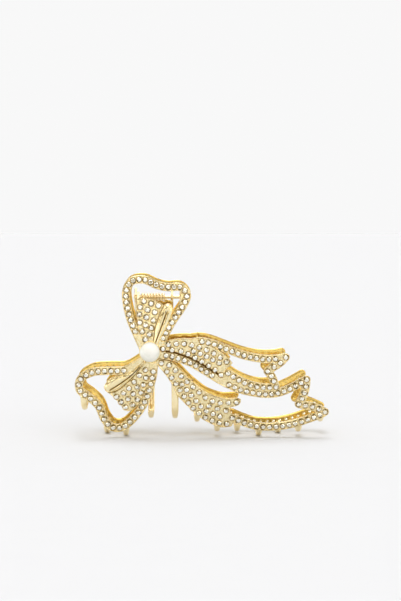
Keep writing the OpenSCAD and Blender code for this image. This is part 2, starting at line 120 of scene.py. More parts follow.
upper_loop_line = [
    [-23.8, 36.2], [-25.6, 40], [-27, 43.2], [-29, 48], [-30.4, 54], [-30.6, 59.2], [-28.4, 63],
    [-23.4, 63.6], [-18.8, 61.6], [-14.2, 60.6], [-9, 60.6], [-6.4, 57.4], [-8, 53.2],
    [-12.2, 47], [-16.2, 40], [-18, 36.6],
]
left_loop_line = [
    [-23.4, 31.8], [-27.8, 29], [-31.6, 27.4], [-38.8, 27.2], [-44.4, 26.6], [-49, 23.8],
    [-49.2, 19.4], [-45.4, 16.4], [-41.8, 12.8], [-39.6, 7.6], [-36.6, 4.2], [-31.8, 4.4],
    [-26.2, 9.8], [-22.4, 16.6], [-20.6, 23], [-19.8, 27], [-19.8, 31.4],
]
upper_tail_line = [
    [-4.4, 38.7], [-0.4, 39], [4.2, 37.9], [9.2, 36], [16.4, 33.4], [23.6, 32], [29.2, 32],
    [33, 32.6],
]
upper_tail_return_line = [[33, 32.6], [30.8, 30.4], [28.4, 28.8], [25.8, 27]]
upper_tail_down_line = [[25.8, 27], [27.4, 25], [28.4, 22.8], [29.2, 20.6]]
middle_tail_line = [
    [-17.4, 33.8], [-12.2, 33], [-9.6, 32.2], [-4.8, 30.4], [-0.6, 28], [3.6, 25.4], [7.2, 23.2],
    [10.4, 21.6], [15, 19.6], [20, 18.4], [25, 17.8], [30, 18.2], [34.8, 20], [39, 22.2],
    [41.4, 23.6],
]
middle_tail_upper_line = [[10, 26.2], [14.4, 23.4], [19, 21.4], [24.2, 20.4], [29.2, 20.6]]
middle_tail_web = [[6.4, 24], [9.2, 27.2], [14.6, 23.8], [19, 20.6], [14.8, 19.4], [7, 22.8]]
lower_tail_down_line = [[41.4, 23.6], [41.2, 20.8], [40.6, 18.2], [39.6, 15.8], [38.4, 13.6]]
lower_tail_out_line = [[38.4, 13.6], [41.2, 13], [43.8, 12.6], [46.4, 11.6], [49, 10.4]]
lower_tail_back_line = [
    [49, 10.4], [47, 9.2], [41.8, 7.2], [36.8, 5.6], [31.8, 4.6], [26.4, 4.2], [21.2, 4.6],
    [16.6, 6], [11.8, 8],
]
upper_crease_side = [
    [-20, 38.2], [-19.6, 41], [-19.2, 44.2], [-18.2, 47.4], [-17, 50.6], [-15.6, 53.4],
]
upper_crease_edges = [
    upper_crease_side,
    [[-15.6, 53.4], [-14.6, 54.1], [-13.4, 54.1], [-12.4, 53.4], [-12, 51.6], [-12.4, 49.4],
     [-13.8, 46], [-15.2, 43], [-16.6, 40.6], [-18, 37.4]],
    [[-18, 37.4], [-20, 38.2]],
]
upper_fold_edges = [
    [[-20, 38.2], [-23.6, 37.6]],
    [[-23.6, 37.6], [-25.2, 41], [-26, 44.2], [-26.4, 48.2], [-26.6, 52.2], [-26.4, 55.6]],
    [[-26.4, 55.6], [-25.4, 56.4]],
    [[-25.4, 56.4], [-22, 56], [-18.4, 55], [-15.6, 53.4]],
    upper_crease_side[::-1],
]
left_crease_side = [
    [-38.2, 18.4], [-36.2, 18.6], [-33.8, 19.6], [-31.4, 21.4], [-29, 23.8], [-27, 25.8], [-24.6, 29],
    [-22.8, 31],
]
left_crease_edges = [
    [[-23, 31.8], [-25.6, 29.8], [-28.8, 27.2], [-31.4, 26], [-34.8, 25.2], [-37.2, 24],
     [-38.8, 22.4], [-39.6, 20.8], [-39.2, 19.4], [-38.2, 18.4]],
    left_crease_side,
    [[-22.8, 31], [-23, 31.8]],
]
left_fold_edges = [
    left_crease_side[::-1],
    [[-38.2, 18.4], [-36.6, 17.2], [-34.8, 15.4], [-33, 13.2], [-31.4, 11.2]],
    [[-31.4, 11.2], [-29.6, 10.8], [-26.8, 12.4], [-24.8, 14.8]],
    [[-24.8, 14.8], [-22.8, 20.2], [-20.8, 25.8], [-20.8, 31]],
    [[-20.8, 31], [-22.8, 31]],
]
upper_tail_fold_edges = [
    [[-18, 34.6], [-17.4, 37]],
    [[-17.4, 37], [-15, 39.2], [-11.6, 40], [-8, 40.3], [-4.6, 40.2], [-2, 39.4]],
    [[-2, 39.4], [4, 37], [8.8, 33.6], [11.8, 30.4]],
    [[11.8, 30.4], [11, 29.4], [9.6, 28.2], [8.6, 26.2], [8.4, 24]],
    [[8.4, 24], [3.6, 24.8]],
    [[3.6, 24.8], [-4.8, 29.8], [-12.2, 32.4], [-18, 34.6]],
]
lower_tail_fold_edges = [
    [[-18.6, 31.8], [-17, 32], [-14.8, 31.6], [-12.4, 30.8], [-9.2, 28], [-5.2, 23.8],
     [-1.2, 20.4], [1.6, 18.4], [4.8, 17], [8.8, 16], [13.2, 16.2], [15.2, 15.6]],
    [[15.2, 15.6], [15, 14.2], [13.6, 13], [11.2, 12.2], [10.8, 11], [12, 9.4]],
    [[12, 9.4], [12.2, 5.8]],
    [[12.2, 5.8], [11.2, 4.4], [7.6, 4], [4.4, 5], [0.8, 6.8], [-2.8, 9.4], [-6.8, 13.4],
     [-10.2, 17.2], [-12, 20.8], [-14, 24.2], [-16.4, 27.4], [-18.8, 30.2]],
    [[-18.8, 30.2], [-18.6, 31.8]],
]
upper_slit = [[-18.9, 38.8], [-17.6, 42.2], [-16.2, 46], [-14.7, 50.2]]
left_slit = [[-23.6, 30.6], [-26, 28], [-28.4, 25.6], [-31.2, 23.4], [-34.4, 21.2], [-37, 19.6]]
# Each tooth's x, the height of its lowest point, and the height of its root
front_teeth = [
    [-47.6, 10.8, 16.4], [-31, 0.2, 4.6], [-11.2, 7.2, 22],
    [5.8, 1.8, 6.4], [22.6, 0, 4.4], [38.6, 1.6, 6],
]
rear_teeth = [
    [-39, 0, 5.4], [-21, 6, 24], [-2.2, 4.4, 9.8],
    [14.2, 0.6, 6.6], [31, 0, 4.4], [48.4, 4.4, 9.4],
]


# Curves and outlines

def curve(points, steps=CURVE_STEPS):
    """A Catmull-Rom run through every point; two points stay one straight line."""
    p = np.array(points, float)
    if len(p) == 2:
        return p
    padded = np.vstack([2 * p[0] - p[1], p, 2 * p[-1] - p[-2]])
    out = []
    for a, b, c, d in zip(padded, padded[1:], padded[2:], padded[3:]):
        for t in np.arange(steps) / steps:
            out.append(0.5 * (2 * b + (c - a) * t + (2 * a - 5 * b + 4 * c - d) * t * t
                              + (3 * b - a - 3 * c + d) * t ** 3))
    return np.array(out + [p[-1]])


def steps_along(p):
    """The unit vector along a run of points, at each of them."""
    d = np.vstack([p[1] - p[0], p[2:] - p[:-2], p[-1] - p[-2]])
    return d / np.linalg.norm(d, axis=1)[:, None]


def sideways(p):
    """The unit vector across a flat run of points, to its left, at each of them."""
    d = steps_along(p)
    return np.stack([-d[:, 1], d[:, 0]], 1)


def band(line, width=BAND_W, round_end=False, steps=CURVE_STEPS):
    """The outline of a band about a centre line, with a round far end where asked."""
    p = curve(line, steps)
    a = sideways(p) * width / 2
    cap = []
    if round_end:
        for k in range(1, 12):
            t = -math.pi * k / 12
            x, z = a[-1]
            cap.append(p[-1] + [x * math.cos(t) - z * math.sin(t), x * math.sin(t) + z * math.cos(t)])
    return np.array(list(p + a) + cap + list((p - a)[::-1]))


def closed(edges):
    """A closed outline from its smooth edges."""
    return np.vstack([curve(e)[:-1] for e in edges])


def filled_in(poly, step=0.5):
    """A closed outline with points added along its long sides."""
    out = []
    for a, b in zip(poly, np.roll(poly, -1, 0)):
        n = max(1, round(float(np.linalg.norm(b - a)) / step))
        out += [a + (b - a) * k / n for k in range(n)]
    return np.array(out)


def circle(centre, r, sides=48):
    t = np.arange(sides) * 2 * math.pi / sides
    return np.stack([centre[0] + r * np.cos(t), centre[1] + r * np.sin(t)], 1)


def area(ring):
    """Twice the area of a closed ring, above 0 if it runs anticlockwise."""
    a, b = ring, np.roll(ring, -1, 0)
    return np.sum(a[:, 0] * b[:, 1] - b[:, 0] * a[:, 1])


def offset(ring, by):
    """A closed ring moved to its left."""
    t = np.roll(ring, -1, 0) - np.roll(ring, 1, 0)
    t /= np.maximum(np.linalg.norm(t, axis=1), 1e-9)[:, None]
    return ring + np.stack([-t[:, 1], t[:, 0]], 1) * by


def read(table, at):
    """A table of (distance, value) pairs read at some distances, on straight lines between its rows."""
    return np.interp(at, *zip(*table))


def winding(points, poly):
    """Whether each point lies within the polygon, by its winding number."""
    near = ((points >= poly.min(0)) & (points <= poly.max(0))).all(1)
    if not near.all():
        found = np.zeros(len(points), bool)
        if near.any():
            found[near] = winding(points[near], poly)
        return found
    x, z = points[:, :1], points[:, 1:]
    a, b = poly, np.roll(poly, -1, 0)
    up = (a[:, 1] <= z) & (b[:, 1] > z)
    down = (a[:, 1] > z) & (b[:, 1] <= z)
    side = (b[:, 0] - a[:, 0]) * (z - a[:, 1]) - (x - a[:, 0]) * (b[:, 1] - a[:, 1])
    return (np.sum(up & (side > 0), 1) - np.sum(down & (side < 0), 1)) != 0


def within(points, polys):
    """Whether each point lies in any of the polygons."""
    found = np.zeros(len(points), bool)
    for poly in polys:
        found |= winding(points, poly)
    return found


def region_test(points, loops):
    """Whether each point lies in the solid that the loops bound: outer loops less their holes."""
    found = np.zeros(len(points), int)
    for ring in loops:
        found += np.where(winding(points, ring), 1 if area(ring) > 0 else -1, 0)
    return found > 0


def distance_to(points, lines, is_closed=True):
    """The distance from each point to the nearest of some polylines."""
    batch = 4000
    best = np.full(len(points), np.inf)
    for line in lines:
        a = line if is_closed else line[:-1]
        b = np.roll(line, -1, 0) if is_closed else line[1:]
        d = b - a
        for part in range(0, len(points), batch):
            q = points[part:part + batch, None]
            t = np.clip(((q - a) * d).sum(2) / np.maximum((d * d).sum(1), 1e-12), 0, 1)
            gap = np.linalg.norm(q - (a + t[..., None] * d), axis=2).min(1)
            best[part:part + batch] = np.minimum(best[part:part + batch], gap)
    return best


def from_centres(points, centres):
    """The distance from each point to the nearest stone centre."""
    if not len(centres):
        return np.full(len(points), np.inf)
    return np.linalg.norm(points[:, None] - centres, axis=2).min(1)


def free_edges(faces):
    """Directed edges that only one triangle has."""
    edges = np.vstack([faces[:, [0, 1]], faces[:, [1, 2]], faces[:, [2, 0]]])
    taken = set(map(tuple, edges.tolist()))
    return [e for e in map(tuple, edges.tolist()) if (e[1], e[0]) not in taken]


def chains(follow):
    """The closed runs that a table of each vertex's next vertex makes. It empties the table."""
    runs = []
    while follow:
        run, at = [], next(iter(follow))
        while at in follow:
            run.append(at)
            at = follow.pop(at)
        runs.append(run)
    return runs


class Net:
    """Points and the joins between them, gathered for one triangulation."""

    def __init__(self):
        self.points, self.joins = [], []

    def ring(self, ring):
        """Adds a closed ring."""
        n = len(self.points)
        self.points += list(ring)
        self.joins += [(n + i, n + (i + 1) % len(ring)) for i in range(len(ring))]

    def line(self, line):
        """Adds an open line."""
        n = len(self.points)
        self.points += list(line)
        self.joins += [(n + i, n + i + 1) for i in range(len(line) - 1)]

    def part_ring(self, ring, ok, may_join=None):
        """Adds the ok points of a closed ring, and joins neighbours whose middle may_join allows."""
        number = {}
        for i in np.nonzero(ok)[0]:
            number[i] = len(self.points)
            self.points.append(ring[i])
        for i in number:
            j = (i + 1) % len(ring)
            if j in number and (may_join is None or may_join((ring[[i]] + ring[[j]]) / 2)):
                self.joins.append((number[i], number[j]))

    def triangles(self):
        points = [Vector(p) for p in self.points]
        verts, _, faces, _, _, _ = delaunay_2d_cdt(points, self.joins, [], 0, 1e-6)
        return np.array([v[:] for v in verts]), np.array([f for f in faces if len(f) == 3])


def outline(adds, cuts=(), seats=(), edges=(), clears=()):
    """The closed boundaries, solid on their left, of some polygons joined and others cut away.
    seats are stone centres. Their round seats are joined: cuts leave them whole, edges leave their
    cores, and clears take all."""
    shortest_step = 0.07
    rounds = [circle(c, HOLE_R + SEAT_RIM, 24) for c in seats]
    cores = [circle(c, HOLE_R + SEAT_CORE, 24) for c in seats]
    net = Net()
    for poly in [*adds, *cuts, *rounds, *cores, *edges, *clears]:
        net.ring(poly)
    verts, faces = net.triangles()
    middle = verts[faces].mean(1)
    kept = (within(middle, adds) & ~within(middle, cuts)) | within(middle, rounds)
    kept &= ~within(middle, edges) | within(middle, cores)
    kept &= ~within(middle, clears)
    loops = []
    for run in chains(dict(free_edges(faces[kept]))):
        ring = verts[run]
        ring = ring[np.linalg.norm(ring - np.roll(ring, 1, 0), axis=1) > shortest_step]
        if len(ring) > 4:
            loops.append(ring)
    return loops


# Meshes

def face_y(z, rise):
    """Y of the front jaw's face at height z, where it stands proud by rise."""
    return FACE_AXIS_Y - np.sqrt((FACE_R + rise) ** 2 - (z - FACE_MID_Z) ** 2)


def on_face(points, rise):
    """Places on the front jaw's face, proud by rise."""
    return np.stack([points[:, 0], face_y(points[:, 1], rise), points[:, 1]], 1)


def new_mesh(name, verts, faces, mirror=False):
    """A mesh in metres, from millimetres, mirrored in y for the rear jaw."""
    if mirror:
        verts = verts * [1, -1, 1]
        faces = [f[::-1] for f in faces]
    m = bpy.data.meshes.new(name)
    m.from_pydata((verts * MM).tolist(), [], faces)
    return m


class Build:
    """Vertices, faces and each vertex's painted shade, gathered for one mesh."""

    def __init__(self):
        self.verts, self.faces, self.shade, self.count = [], [], [], 0

    def add(self, verts, faces, shade=0.0):
        """Adds a part, whose faces count from its own first vertex, and gives that vertex's number."""
        verts = np.asarray(verts, float).reshape(-1, 3)
        base = self.count
        self.verts.append(verts)
        self.shade.append(np.broadcast_to(np.asarray(shade, float), (len(verts),)))
        self.faces += [[base + i for i in f] for f in faces]
        self.count += len(verts)
        return base

    def strip(self, a, b, flip=False):
        """Quads between two closed rings of vertex numbers."""
        for i in range(len(a)):
            j = (i + 1) % len(a)
            f = [a[i], a[j], b[j], b[i]]
            self.faces.append(f[::-1] if flip else f)

    def mesh(self, name, mirror=False, smooth_deg=35.0):
        """The mesh, without faces of no area, and sharp where faces meet past smooth_deg."""
        m = new_mesh(name, np.vstack(self.verts), self.faces, mirror)
        m.validate()
        m.attributes.new("shade", "FLOAT", "POINT").data.foreach_set(
            "value", np.concatenate(self.shade).astype(np.float32))
        clean = bmesh.new()
        clean.from_mesh(m)
        bmesh.ops.dissolve_degenerate(clean, dist=1e-8, edges=clean.edges)
        clean.to_mesh(m)
        clean.free()
        m.shade_smooth()
        m.set_sharp_from_angle(angle=math.radians(smooth_deg))
        return m


def place(name, mesh, body, nodes, look):
    """A mesh as a piece of the object, standing for its CAD nodes."""
    mesh.materials.append(look)
    piece = bpy.data.objects.new(name, mesh)
    bpy.context.scene.collection.objects.link(piece)
    if isinstance(body, str):
        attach(piece, body)
    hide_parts(*nodes)
    return piece


def stone_centres(group):
    """[x, z] of every stone in a CAD group node, from its separate solids."""
    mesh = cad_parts[group].data
    co = np.array([v.co for v in mesh.vertices])
    key, spot_of = {}, []
    for c in np.round(co * 1e6).astype(int).tolist():
        spot_of.append(key.setdefault(tuple(c), len(key)))
    root = list(range(len(key)))

    def find(i):
        while root[i] != i:
            root[i] = root[root[i]]
            i = root[i]
        return i

    for p in mesh.polygons:
        first, *rest = [spot_of[v] for v in p.vertices]
        for other in rest:
            root[find(first)] = find(other)
    solids = {}
    for v, spot in enumerate(spot_of):
        solids.setdefault(find(spot), []).append(v)
    middles = [(co[members].min(0) + co[members].max(0)) / 2 / MM for members in solids.values()]
    out = np.array([[m[0], m[2]] for m in middles])
    return out[np.lexsort((out[:, 1], out[:, 0]))]


def beads(centres, loops, polys):
    """Places for the small beads that hold the stones, beside each pair of neighbours."""
    widest_pair, aside, merge, from_stone, from_edge = 3.1, 0.98, 0.75, 1.1, 0.34
    spots = []
    for i, a in enumerate(centres):
        for b in centres[i + 1:]:
            d = b - a
            gap = np.linalg.norm(d)
            if gap < widest_pair:
                side = np.array([-d[1], d[0]]) / gap
                spots += [(a + b) / 2 + side * aside, (a + b) / 2 - side * aside]
    kept = []
    for s in spots:
        near = [k for k in kept if np.linalg.norm(k - s) < merge]
        if near:
            near[0] += (s - near[0]) * 0.35
        else:
            kept.append(s.copy())
    kept = np.array([k for k in kept if np.linalg.norm(centres - k, axis=1).min() > from_stone])
    if not len(kept):
        return kept
    return kept[within(kept, polys) & (distance_to(kept, loops) > from_edge)]


def dome(build, at, r, height, sides=8):
    """A small round bead, sunk into the surface."""
    base = on_face(np.array([at]), height)[0]
    rings = [(-0.9, 0.55), (-0.2, 0.98), (0.35, 0.93), (0.75, 0.62)]
    verts = []
    for h, s in rings:
        for k in range(sides):
            t = 2 * math.pi * k / sides
            verts.append(base + [r * s * math.cos(t), -r * h, r * s * math.sin(t)])
    verts.append(base + [0, -r, 0])
    faces = [list(range(sides))[::-1]]
    for i in range(len(rings) - 1):
        for k in range(sides):
            j = (k + 1) % sides
            a, b = i * sides, (i + 1) * sides
            faces.append([a + k, a + j, b + j, b + k])
    top = (len(rings) - 1) * sides
    faces += [[top + k, top + (k + 1) % sides, len(verts) - 1] for k in range(sides)]
    build.add(verts, faces, 0.0)


def plate_mesh(loops, lines, centres, profile, spacing, slit):
    """A plate's flat vertices and triangles: rows along its edges, its slit and its seats, where the
    height changes, and an even grid between them."""
    net = Net()
    for ring in loops:
        net.ring(ring)
    for c in centres:
        net.ring(circle(c, HOLE_R, HOLE_SIDES))
        q = circle(c, HOLE_R + LIP, HOLE_SIDES)
        ok = region_test(q, loops) & (distance_to(q, loops) > 0.1)
        ok &= from_centres(q, centres) > HOLE_R + 0.12
        net.points += list(q[ok])

    def clear(p, gap):
        """Whether points lie in the plate, away from its edges and its seats."""
        ok = region_test(p, loops) & (distance_to(p, loops) > gap)
        return ok & (from_centres(p, centres) > HOLE_R + 0.06)

    for d, _ in profile[1:]:
        for ring in lines:
            q = offset(ring, d)
            ok = clear(q, min(d, 0.09) * 0.6) & (distance_to(q, lines) > d * 0.93)
            net.part_ring(q, ok, lambda middle: clear(middle, 0.02)[0])
    if slit is not None:
        net.line(slit)
    lo, hi = np.vstack(loops).min(0), np.vstack(loops).max(0)
    row_gap = spacing * 0.87
    xs, zs = np.meshgrid(np.arange(lo[0], hi[0], spacing), np.arange(lo[1], hi[1], row_gap))
    xs[1::2] += spacing / 2
    grid = np.stack([xs.ravel(), zs.ravel()], 1)
    ok = clear(grid, 0.12) & (distance_to(grid, lines) > profile[-1][0] + spacing * 0.4)
    ok &= from_centres(grid, centres) > HOLE_R + spacing * 0.3
    net.points += list(grid[ok])

    verts, faces = net.triangles()
    middle = verts[faces].mean(1)
    hole = HOLE_R * math.cos(math.pi / HOLE_SIDES) - 0.01
    faces = faces[region_test(middle, loops) & (from_centres(middle, centres) > hole)]
    used = np.unique(faces)
    renumber = -np.ones(len(verts), int)
    renumber[used] = np.arange(len(used))
    return verts[used], renumber[faces]


def plate(build, adds, hidden=(), edges=(), centres=(), others=(), rise=0.0, profile=RIM, spacing=0.62,
          thick=PLATE_T, slit=None):
    """A plate with a raised rim, a bored seat for each stone, and beads between the stones.
    hidden polygons are cut away under a neighbour; edges polygons are cut away and leave a rim;
    others are the stones that sit in neighbouring plates."""
    own = outline(adds, (), centres, edges)
    loops = outline(adds, hidden, centres, edges, [circle(c, HOLE_R + SEAT_CLEAR, 24) for c in others])
    lines = own if slit is None else own + [np.vstack([slit, slit[::-1]])]
    centres = np.array(centres, float).reshape(-1, 2)
    if len(centres):
        centres = centres[distance_to(centres, loops) > HOLE_R - 0.03]
    verts, faces = plate_mesh(loops, lines, centres, profile, spacing, slit)

    gap = distance_to(verts, own)
    height = rise + read(profile, gap)
    under = rise - thick + read(BACK_ROUND, distance_to(verts, loops))
    # Painted shade: dark along the edges and in the slit, weaker on plates without stones, and in a ring
    # round each seat
    shade = read(EDGE_SHADE, gap)
    if slit is not None:
        split = distance_to(verts, [slit], False)
        height = np.minimum(height, rise + read(SLIT, split))
        shade = read(SLIT_SHADE, split)
    elif not len(centres):
        shade *= PLAIN_SHADE
    reach = from_centres(verts, centres)
    height -= read(SEAT_DIP, reach)
    shade = np.maximum(shade, read(SEAT_SHADE, reach))
    seat = reach < HOLE_R + 0.012
    back = verts.copy()
    if seat.any():
        away = np.linalg.norm(verts[seat][:, None] - centres, axis=2)
        c = centres[away.argmin(1)]
        back[seat] = c + (verts[seat] - c) * BACK_HOLE_R / HOLE_R
        shade[seat] = DEEP
    front = build.add(on_face(verts, height), faces.tolist(), shade)
    # The back faces look between the jaws and get the painted deeper gold
    rear = build.add(on_face(back, under), faces[:, ::-1].tolist(), INNER)
    seat_next = {}
    for a, b in free_edges(faces):
        if seat[a] and seat[b]:
            seat_next[a] = b
        else:
            build.faces.append([front + b, front + a, rear + a, rear + b])
    for ring in chains(seat_next):
        c = centres[np.linalg.norm(centres - verts[ring[0]], axis=1).argmin()]
        away = verts[ring] - c
        floor_at = build.add(on_face(c + away * 0.97, rise - HOLE_DEPTH), [], DEEP)
        dimple = c + away * BACK_HOLE_R / HOLE_R * 0.8
        dimple_at = build.add(on_face(dimple, rise - thick + DIMPLE_DEPTH), [], INNER)
        floors = [floor_at + i for i in range(len(ring))]
        dimples = [dimple_at + i for i in range(len(ring))]
        build.strip([front + i for i in ring], floors, flip=True)
        build.faces.append(floors[::-1])
        build.strip(dimples, [rear + i for i in ring], flip=True)
        build.faces.append(dimples)
    if len(centres) > 1:
        for s in beads(centres, own, adds):
            dome(build, s, BEAD_R, rise + 0.12)


def ring_sweep(build, centres, across, over, half_w, half_t, power=2.6, sides=20, shade=0.0):
    """A solid swept along centres, with a rounded section of half sizes half_w and half_t."""
    t = np.arange(sides) * 2 * math.pi / sides
    c, s = np.cos(t), np.sin(t)
    u = np.sign(c) * np.abs(c) ** (2 / power)
    v = np.sign(s) * np.abs(s) ** (2 / power)
    rings = []
    for k in range(len(centres)):
        ring = centres[k] + np.outer(u * half_w[k], across[k]) + np.outer(v * half_t[k], over[k])
        first = build.add(ring, [], shade)
        rings.append([first + i for i in range(sides)])
    for a, b in zip(rings, rings[1:]):
        build.strip(a, b, flip=True)
    build.faces.append(rings[0])
    build.faces.append(rings[-1][::-1])


def tooth(build, x, low, root):
    """A rounded finger that grows out of the plates' back and curls inwards under the hair."""
    straight_steps, bend_steps = 10, 32
    r = TOOTH_R - TOOTH_T / 2
    bend_z = low + TOOTH_R
    bend_y = TOOTH_R + face_y(bend_z, 0) + TOOTH_INSET
    path = []
    start = 0.0
    if root > bend_z:
        top = np.array([TOOTH_INSET + TOOTH_T / 2 + face_y(root, 0), root + 0.6])
        elbow = np.array([bend_y - r, bend_z])
        path += [top + (elbow - top) * k / straight_steps for k in range(straight_steps)]
    else:
        start = math.asin(min(0.95, (bend_z - root - 0.5) / r))
    end = math.pi / 2 + math.radians(TOOTH_SWEEP) - 0.06
    for k in range(bend_steps + 1):
        a = start + (end - start) * k / bend_steps
        path.append(np.array([bend_y - r * math.cos(a), bend_z - r * math.sin(a)]))
    path = np.array(path)
    step = steps_along(path)
    run = np.concatenate([[0], np.cumsum(np.linalg.norm(np.diff(path, axis=0), axis=1))])
    left = run[-1] - run
    tip = np.sqrt(np.clip(1 - (1 - np.clip(left / 1.35, 0, 1)) ** 2, 0.02, 1))
    down = np.clip((bend_z + 0.5 - path[:, 1]) / r, 0, 1)
    slim = 1 - 0.22 * down ** 5
    wide_root = 1 + 0.12 * np.exp(-run / 1.2)
    half_w = TOOTH_W / 2 * 0.98 * tip * slim * wide_root
    half_t = TOOTH_T / 2 * 0.93 * (0.3 + 0.7 * tip)
    centres = np.stack([np.full(len(path), x), path[:, 0], path[:, 1]], 1)
    across = np.tile([1.0, 0, 0], (len(path), 1))
    over = np.stack([np.zeros(len(path)), -step[:, 1], step[:, 0]], 1)
    ring_sweep(build, centres, across, over, half_w, half_t, power=2.1)


def lathe(build, profile, centre, axis, sides=48, shade=0.0):
    """A solid of revolution: profile is [distance along the axis, radius], first to last. shade is one
    value, or one for each point of the profile."""
    axis = Vector(axis).normalized()
    u = axis.orthogonal().normalized()
    v = axis.cross(u)
    rings = []
    for (along, r), tone in zip(profile, np.broadcast_to(shade, len(profile))):
        ring = []
        for k in range(sides):
            t = 2 * math.pi * k / sides
            ring.append(Vector(centre) + axis * along + (u * math.cos(t) + v * math.sin(t)) * r)
        first = build.add([p[:] for p in ring], [], tone)
        rings.append([first + i for i in range(sides)])
    for a, b in zip(rings, rings[1:]):
        build.strip(a, b)
    build.faces.append(rings[0][::-1])
    build.faces.append(rings[-1])


def rounded_slab(build, polys, origin, u, v, thick, hole=None):
    """A flat plate with rounded edges: polys in the plane of u and v, thick along their normal."""
    u, v = np.array(u, float), np.array(v, float)
    n = np.cross(u, v)
    edge = 0.14
    rounding = [(0.0, edge), (edge * 0.3, edge * 0.29), (edge, 0.0)]
    loops = outline([filled_in(np.array(p, float)) for p in polys])
    if hole is not None:
        loops.append(circle(hole[:2], hole[2], 32)[::-1])
    net = Net()
    for d, _ in rounding:
        for ring in loops:
            q = offset(ring, d)
            net.part_ring(q, distance_to(q, loops) > d * 0.9 - 1e-6)
    verts, faces = net.triangles()
    faces = faces[region_test(verts[faces].mean(1), loops)]
    drop = read(rounding, distance_to(verts, loops))
    flat = np.outer(verts[:, 0], u) + np.outer(verts[:, 1], v) + np.array(origin, float)
    top = build.add(flat + np.outer(thick / 2 - drop, n), faces.tolist(), 0.0)
    low = build.add(flat - np.outer(thick / 2 - drop, n), faces[:, ::-1].tolist(), 0.0)
    for a, b in free_edges(faces):
        build.faces.append([top + b, top + a, low + a, low + b])


def brilliant():
    """One cut stone of unit girdle radius, as [across, across, height] points and flat faces."""
    def ring(r, h, n, turn=0.0):
        angles = [2 * math.pi * (k + turn) / n for k in range(n)]
        return [[r * math.cos(a), r * math.sin(a), h] for a in angles]

    verts = (ring(0.58, 0.46, 8) + ring(0.82, 0.34, 8, 0.5) + ring(1, 0.14, 16) + ring(1, 0.04, 16)
             + [[0, 0, -0.75]])
    table, star, girdle, belt, tip = 0, 8, 16, 32, 48
    faces = [[table + k for k in range(8)]]
    for k in range(8):
        right, left = star + k, star + (k - 1) % 8
        faces.append([table + k, right, table + (k + 1) % 8])
        faces.append([table + k, left, girdle + 2 * k, right])
        faces.append([right, girdle + 2 * k, girdle + 2 * k + 1])
        faces.append([right, girdle + 2 * k + 1, girdle + (2 * k + 2) % 16])
    for k in range(16):
        n = (k + 1) % 16
        faces.append([girdle + k, belt + k, belt + n, girdle + n])
        faces.append([belt + k, tip, belt + n])
    return np.array(verts), faces


def stones_mesh(name, stones, mirror, rng):
    """All the stones of one group, each turned a little differently, with its own seed."""
    lean_by = 0.05
    foil_from_x, foil_below_z, foil_sides = 10, 12, 8
    shape, shape_faces = brilliant()
    verts, faces, flat, seeds = [], [], [], []
    n = 0
    for x, z, rise in stones:
        lean = math.asin((z - FACE_MID_Z) / FACE_R)
        tilt_x = rng.uniform(-lean_by, lean_by)
        tilt_z = rng.uniform(-lean_by, lean_by)
        out = np.array([tilt_x, -math.cos(lean), math.sin(lean) + tilt_z])
        out /= np.linalg.norm(out)
        side = np.cross([0, 0, 1.0], out)
        side /= np.linalg.norm(side)
        up = np.cross(out, side)
        turn = rng.uniform(0, math.pi)
        c, s = math.cos(turn), math.sin(turn)
        local = shape * STONE_R
        px = local[:, 0] * c - local[:, 1] * s
        py = local[:, 0] * s + local[:, 1] * c
        base = np.array([x, face_y(z, rise), z])
        verts.append(base + np.outer(px, side) + np.outer(py, up) + np.outer(local[:, 2], out))
        faces += [[n + i for i in f] for f in shape_faces]
        flat.append(shape[:, :2] * 0.5 + 0.5)
        seeds += [rng.random()] * len(shape)
        n += len(shape)
        if x > foil_from_x and z < foil_below_z:
            # The stone's foil back, which shows in the lower tail's open seats
            spots = circle((x, z), 0.6, foil_sides)
            apex = [x, face_y(z, rise - PLATE_T - 0.02), z]
            verts.append(np.vstack([on_face(spots, rise - PLATE_T + 0.14), [apex]]))
            around = list(range(foil_sides))
            foil = [[k, foil_sides, (k + 1) % foil_sides] for k in around] + [around]
            faces += [[n + i for i in f] for f in foil]
            ring = circle((0, 0), 1.0, foil_sides)
            flat.append(np.vstack([ring, [[0, 0]]]) * 0.4 + 0.5)
            seeds += [rng.random()] * (foil_sides + 1)
            n += foil_sides + 1
    m = new_mesh(name, np.vstack(verts), faces, mirror)
    m.attributes.new("seed", "FLOAT", "POINT").data.foreach_set("value", np.array(seeds, np.float32))
    corner = np.zeros(len(m.loops), np.int32)
    m.loops.foreach_get("vertex_index", corner)
    uv = m.uv_layers.new(name="cut")
    uv.data.foreach_set("uv", np.vstack(flat)[corner].astype(np.float32).ravel())
    m.shade_flat()
    return m


# Node materials

BLACK = (0.0, 0.0, 0.0)
WHITE = (1.0, 1.0, 1.0)
# The near-black of the seam's painted shadow
SEAM_SHADOW_BROWN = (0.14, 0.065, 0.012)
# The painted deeper gold of faces between the jaws, standing for gold reflected in gold
INTERREFLECTED_GOLD = ((0.77, 0.57, 0.19), (0.67, 0.47, 0.13))


def material(name):
    m = bpy.data.materials.new(name)
    m.use_nodes = True
    tree = m.node_tree
    return m, tree, tree.nodes["Principled BSDF"]


def feed(tree, target, inputs):
    """Gives a node its inputs, which are values or other nodes' outputs to link."""
    for k, v in inputs.items():
        if isinstance(v, bpy.types.NodeSocket):
            tree.links.new(v, target.inputs[k])
        else:
            target.inputs[k].default_value = v


def node(tree, kind, inputs=None, **settings):
    n = tree.nodes.new(kind)
    for k, v in settings.items():
        setattr(n, k, v)
    feed(tree, n, inputs or {})
    return n


def maths(tree, operation, *values):
    return node(tree, "ShaderNodeMath", dict(enumerate(values)), operation=operation).outputs[0]


def clamped(tree, value, low=0.0, high=1.0):
    return maths(tree, "MINIMUM", maths(tree, "MAXIMUM", value, low), high)


